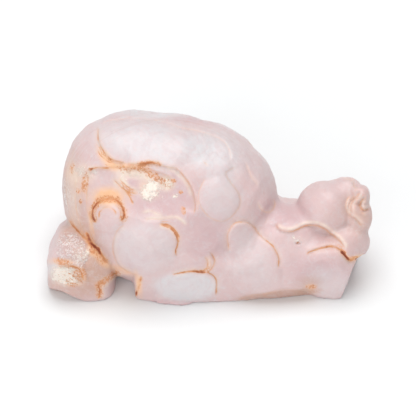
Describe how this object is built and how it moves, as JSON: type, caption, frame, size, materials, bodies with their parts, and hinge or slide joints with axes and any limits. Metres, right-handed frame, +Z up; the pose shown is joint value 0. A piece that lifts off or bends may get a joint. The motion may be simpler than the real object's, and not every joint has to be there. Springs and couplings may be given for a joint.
{
  "type": "chalcedony specimen",
  "caption": "Lumpy nodule of pink chalcedony with a domed body, a foot at one end and a rosette-tipped snout at the other, resting on a flat cut base.",
  "frame": {"origin": "on the cut base, 14 mm behind its front edge and half way along the stone", "axes": "+X from the foot to the snout, +Y from the display face to the back, +Z up"},
  "size_m": [0.0797, 0.0467, 0.037],
  "materials": {
    "chalcedony": "milky pink, waxy, with rust-stained seams"
  },
  "bodies": {
    "root": {"chalcedony": "chalcedony"}
  },
  "joints": []
}
